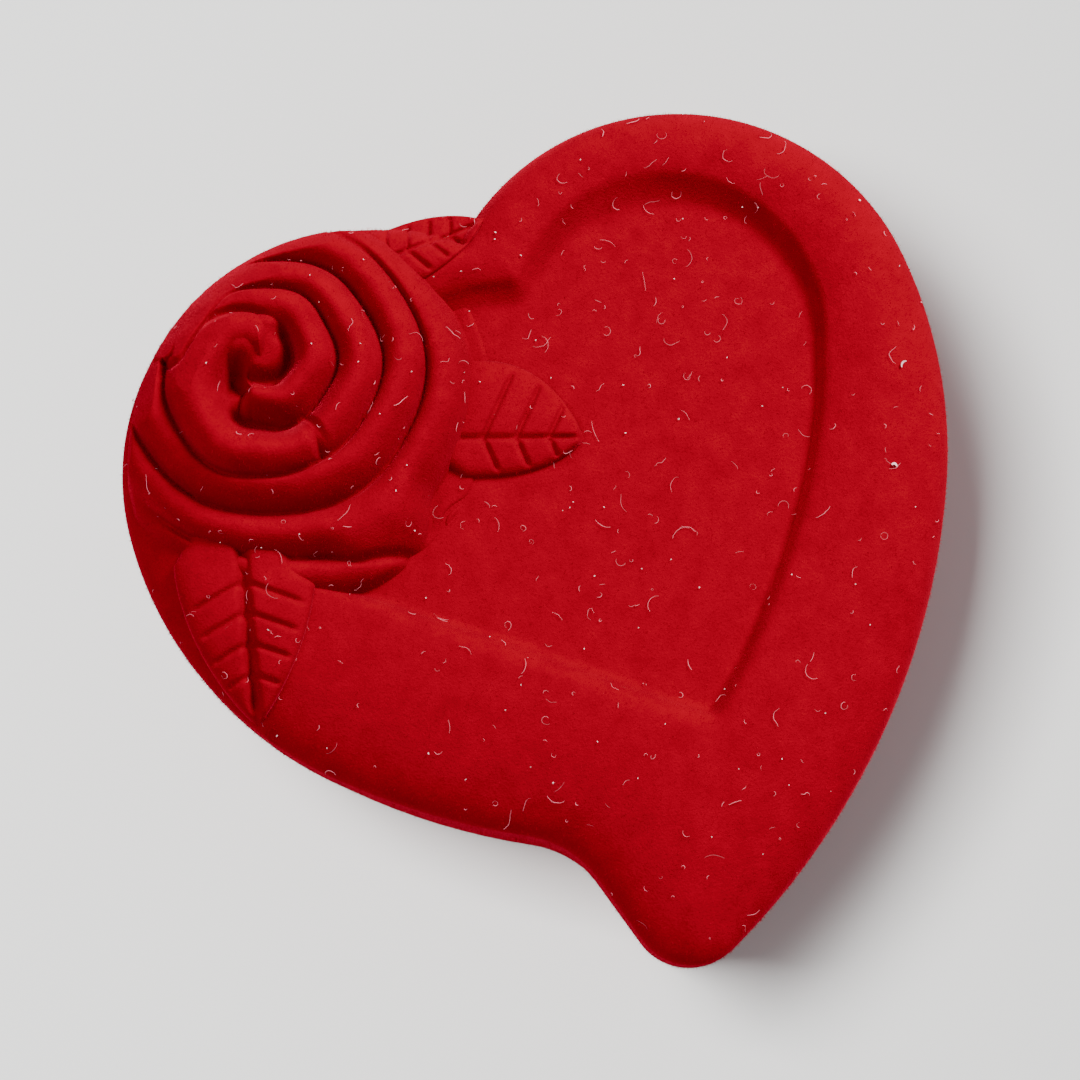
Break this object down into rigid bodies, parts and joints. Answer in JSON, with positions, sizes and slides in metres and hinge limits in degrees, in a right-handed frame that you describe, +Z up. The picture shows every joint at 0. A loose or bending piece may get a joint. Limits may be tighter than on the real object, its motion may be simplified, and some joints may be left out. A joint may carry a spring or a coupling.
{
  "type": "wind up music box",
  "caption": "Heart-shaped velvet-flocked music jewellery box; hinged lid with moulded rose and leaves, lined tray, mirror and a wind-up musical movement under it",
  "frame": {"origin": "bottom centre of the bounding box, on the surface the feet rest on", "axes": "+Z up, +Y to the notch and hinges at the back, -Y to the curled tip, +X to the lobe without the rose"},
  "size_m": [0.1199, 0.119, 0.0625],
  "materials": {
    "velvet": "red flock, short nap",
    "satin": "satin over card",
    "felt": "felt",
    "mirror": "silvered",
    "hinge": "plated",
    "cast": "die cast",
    "steel": "ground",
    "spring": "blued spring steel",
    "brass": "turned",
    "gold_key": "plated",
    "nylon": "moulded",
    "black_plastic": "moulded"
  },
  "bodies": {
    "base": {"base_shell": "velvet", "jewel_tray": "velvet", "ring_roll_1": "velvet", "ring_roll_2": "velvet", "ring_roll_3": "velvet", "felt_foot_1": "felt", "felt_foot_2": "felt", "felt_foot_3": "felt", "felt_foot_4": "felt", "felt_foot_5": "felt", "hinge_base_leaf_left": "hinge", "hinge_base_leaf_right": "hinge", "hinge_pin_left": "hinge", "hinge_pin_right": "hinge", "bedplate": "cast", "comb": "steel", "comb_screw_1": "steel", "comb_screw_2": "steel", "bed_screw_1": "steel", "bed_screw_2": "steel", "bed_screw_3": "steel", "spring_case": "brass", "mainspring": "spring", "cylinder_bracket": "steel", "governor_frame": "steel", "stop_spring": "spring"},
    "lid": {"lid_shell": "velvet", "lid_liner": "satin", "mirror": "mirror", "hinge_lid_leaf_left": "hinge", "hinge_lid_leaf_right": "hinge"},
    "great_wheel": {"great_wheel": "brass", "clutch_spring": "spring"},
    "key": {"winding_arbor": "steel", "winding_key": "gold_key"},
    "cylinder": {"music_cylinder": "brass", "cylinder_arbor": "steel", "drive_wheel": "brass"},
    "governor": {"governor_arbor": "steel", "worm_wheel": "nylon"},
    "fly": {"fly_shaft": "steel", "fly_fan": "black_plastic"},
    "plunger": {"stop_plunger": "nylon"}
  },
  "joints": [
    {"name": "lid_hinge", "type": "hinge", "parent": "base", "child": "lid", "pos_m": [0, 0.0582, 0.034], "axis": [-1, 0, 0], "range_deg": [0, 100]},
    {"name": "cylinder_turn", "type": "hinge", "parent": "base", "child": "cylinder", "pos_m": [0, 0.014, 0.0216], "axis": [1, 0, 0], "continuous": true},
    {"name": "great_wheel_turn", "type": "hinge", "parent": "base", "child": "great_wheel", "pos_m": [-0.029, 0.014, 0.025], "axis": [0, 0, 1], "continuous": true},
    {"name": "key_turn", "type": "hinge", "parent": "great_wheel", "child": "key", "pos_m": [-0.029, 0.014, 0.006], "axis": [0, 0, 1], "continuous": true},
    {"name": "governor_turn", "type": "hinge", "parent": "base", "child": "governor", "pos_m": [0, 0.02144, 0.01961], "axis": [1, 0, 0], "continuous": true},
    {"name": "fly_turn", "type": "hinge", "parent": "base", "child": "fly", "pos_m": [0.0033, 0.02704, 0.027], "axis": [0, 0, 1], "continuous": true},
    {"name": "plunger_rise", "type": "slide", "parent": "base", "child": "plunger", "axis": [0, 0, 1], "range_m": [0, 0.0015], "deforming": ["stop_spring"]}
  ],
  "couplings": [
    {"joint": "great_wheel_turn", "follows": "cylinder_turn", "ratio": -0.26087},
    {"joint": "governor_turn", "follows": "cylinder_turn", "ratio": -4.5},
    {"joint": "fly_turn", "follows": "cylinder_turn", "ratio": 49.5},
    {"joint": "plunger_rise", "follows": "lid_hinge", "m_per_rad": 0.00085944}
  ]
}
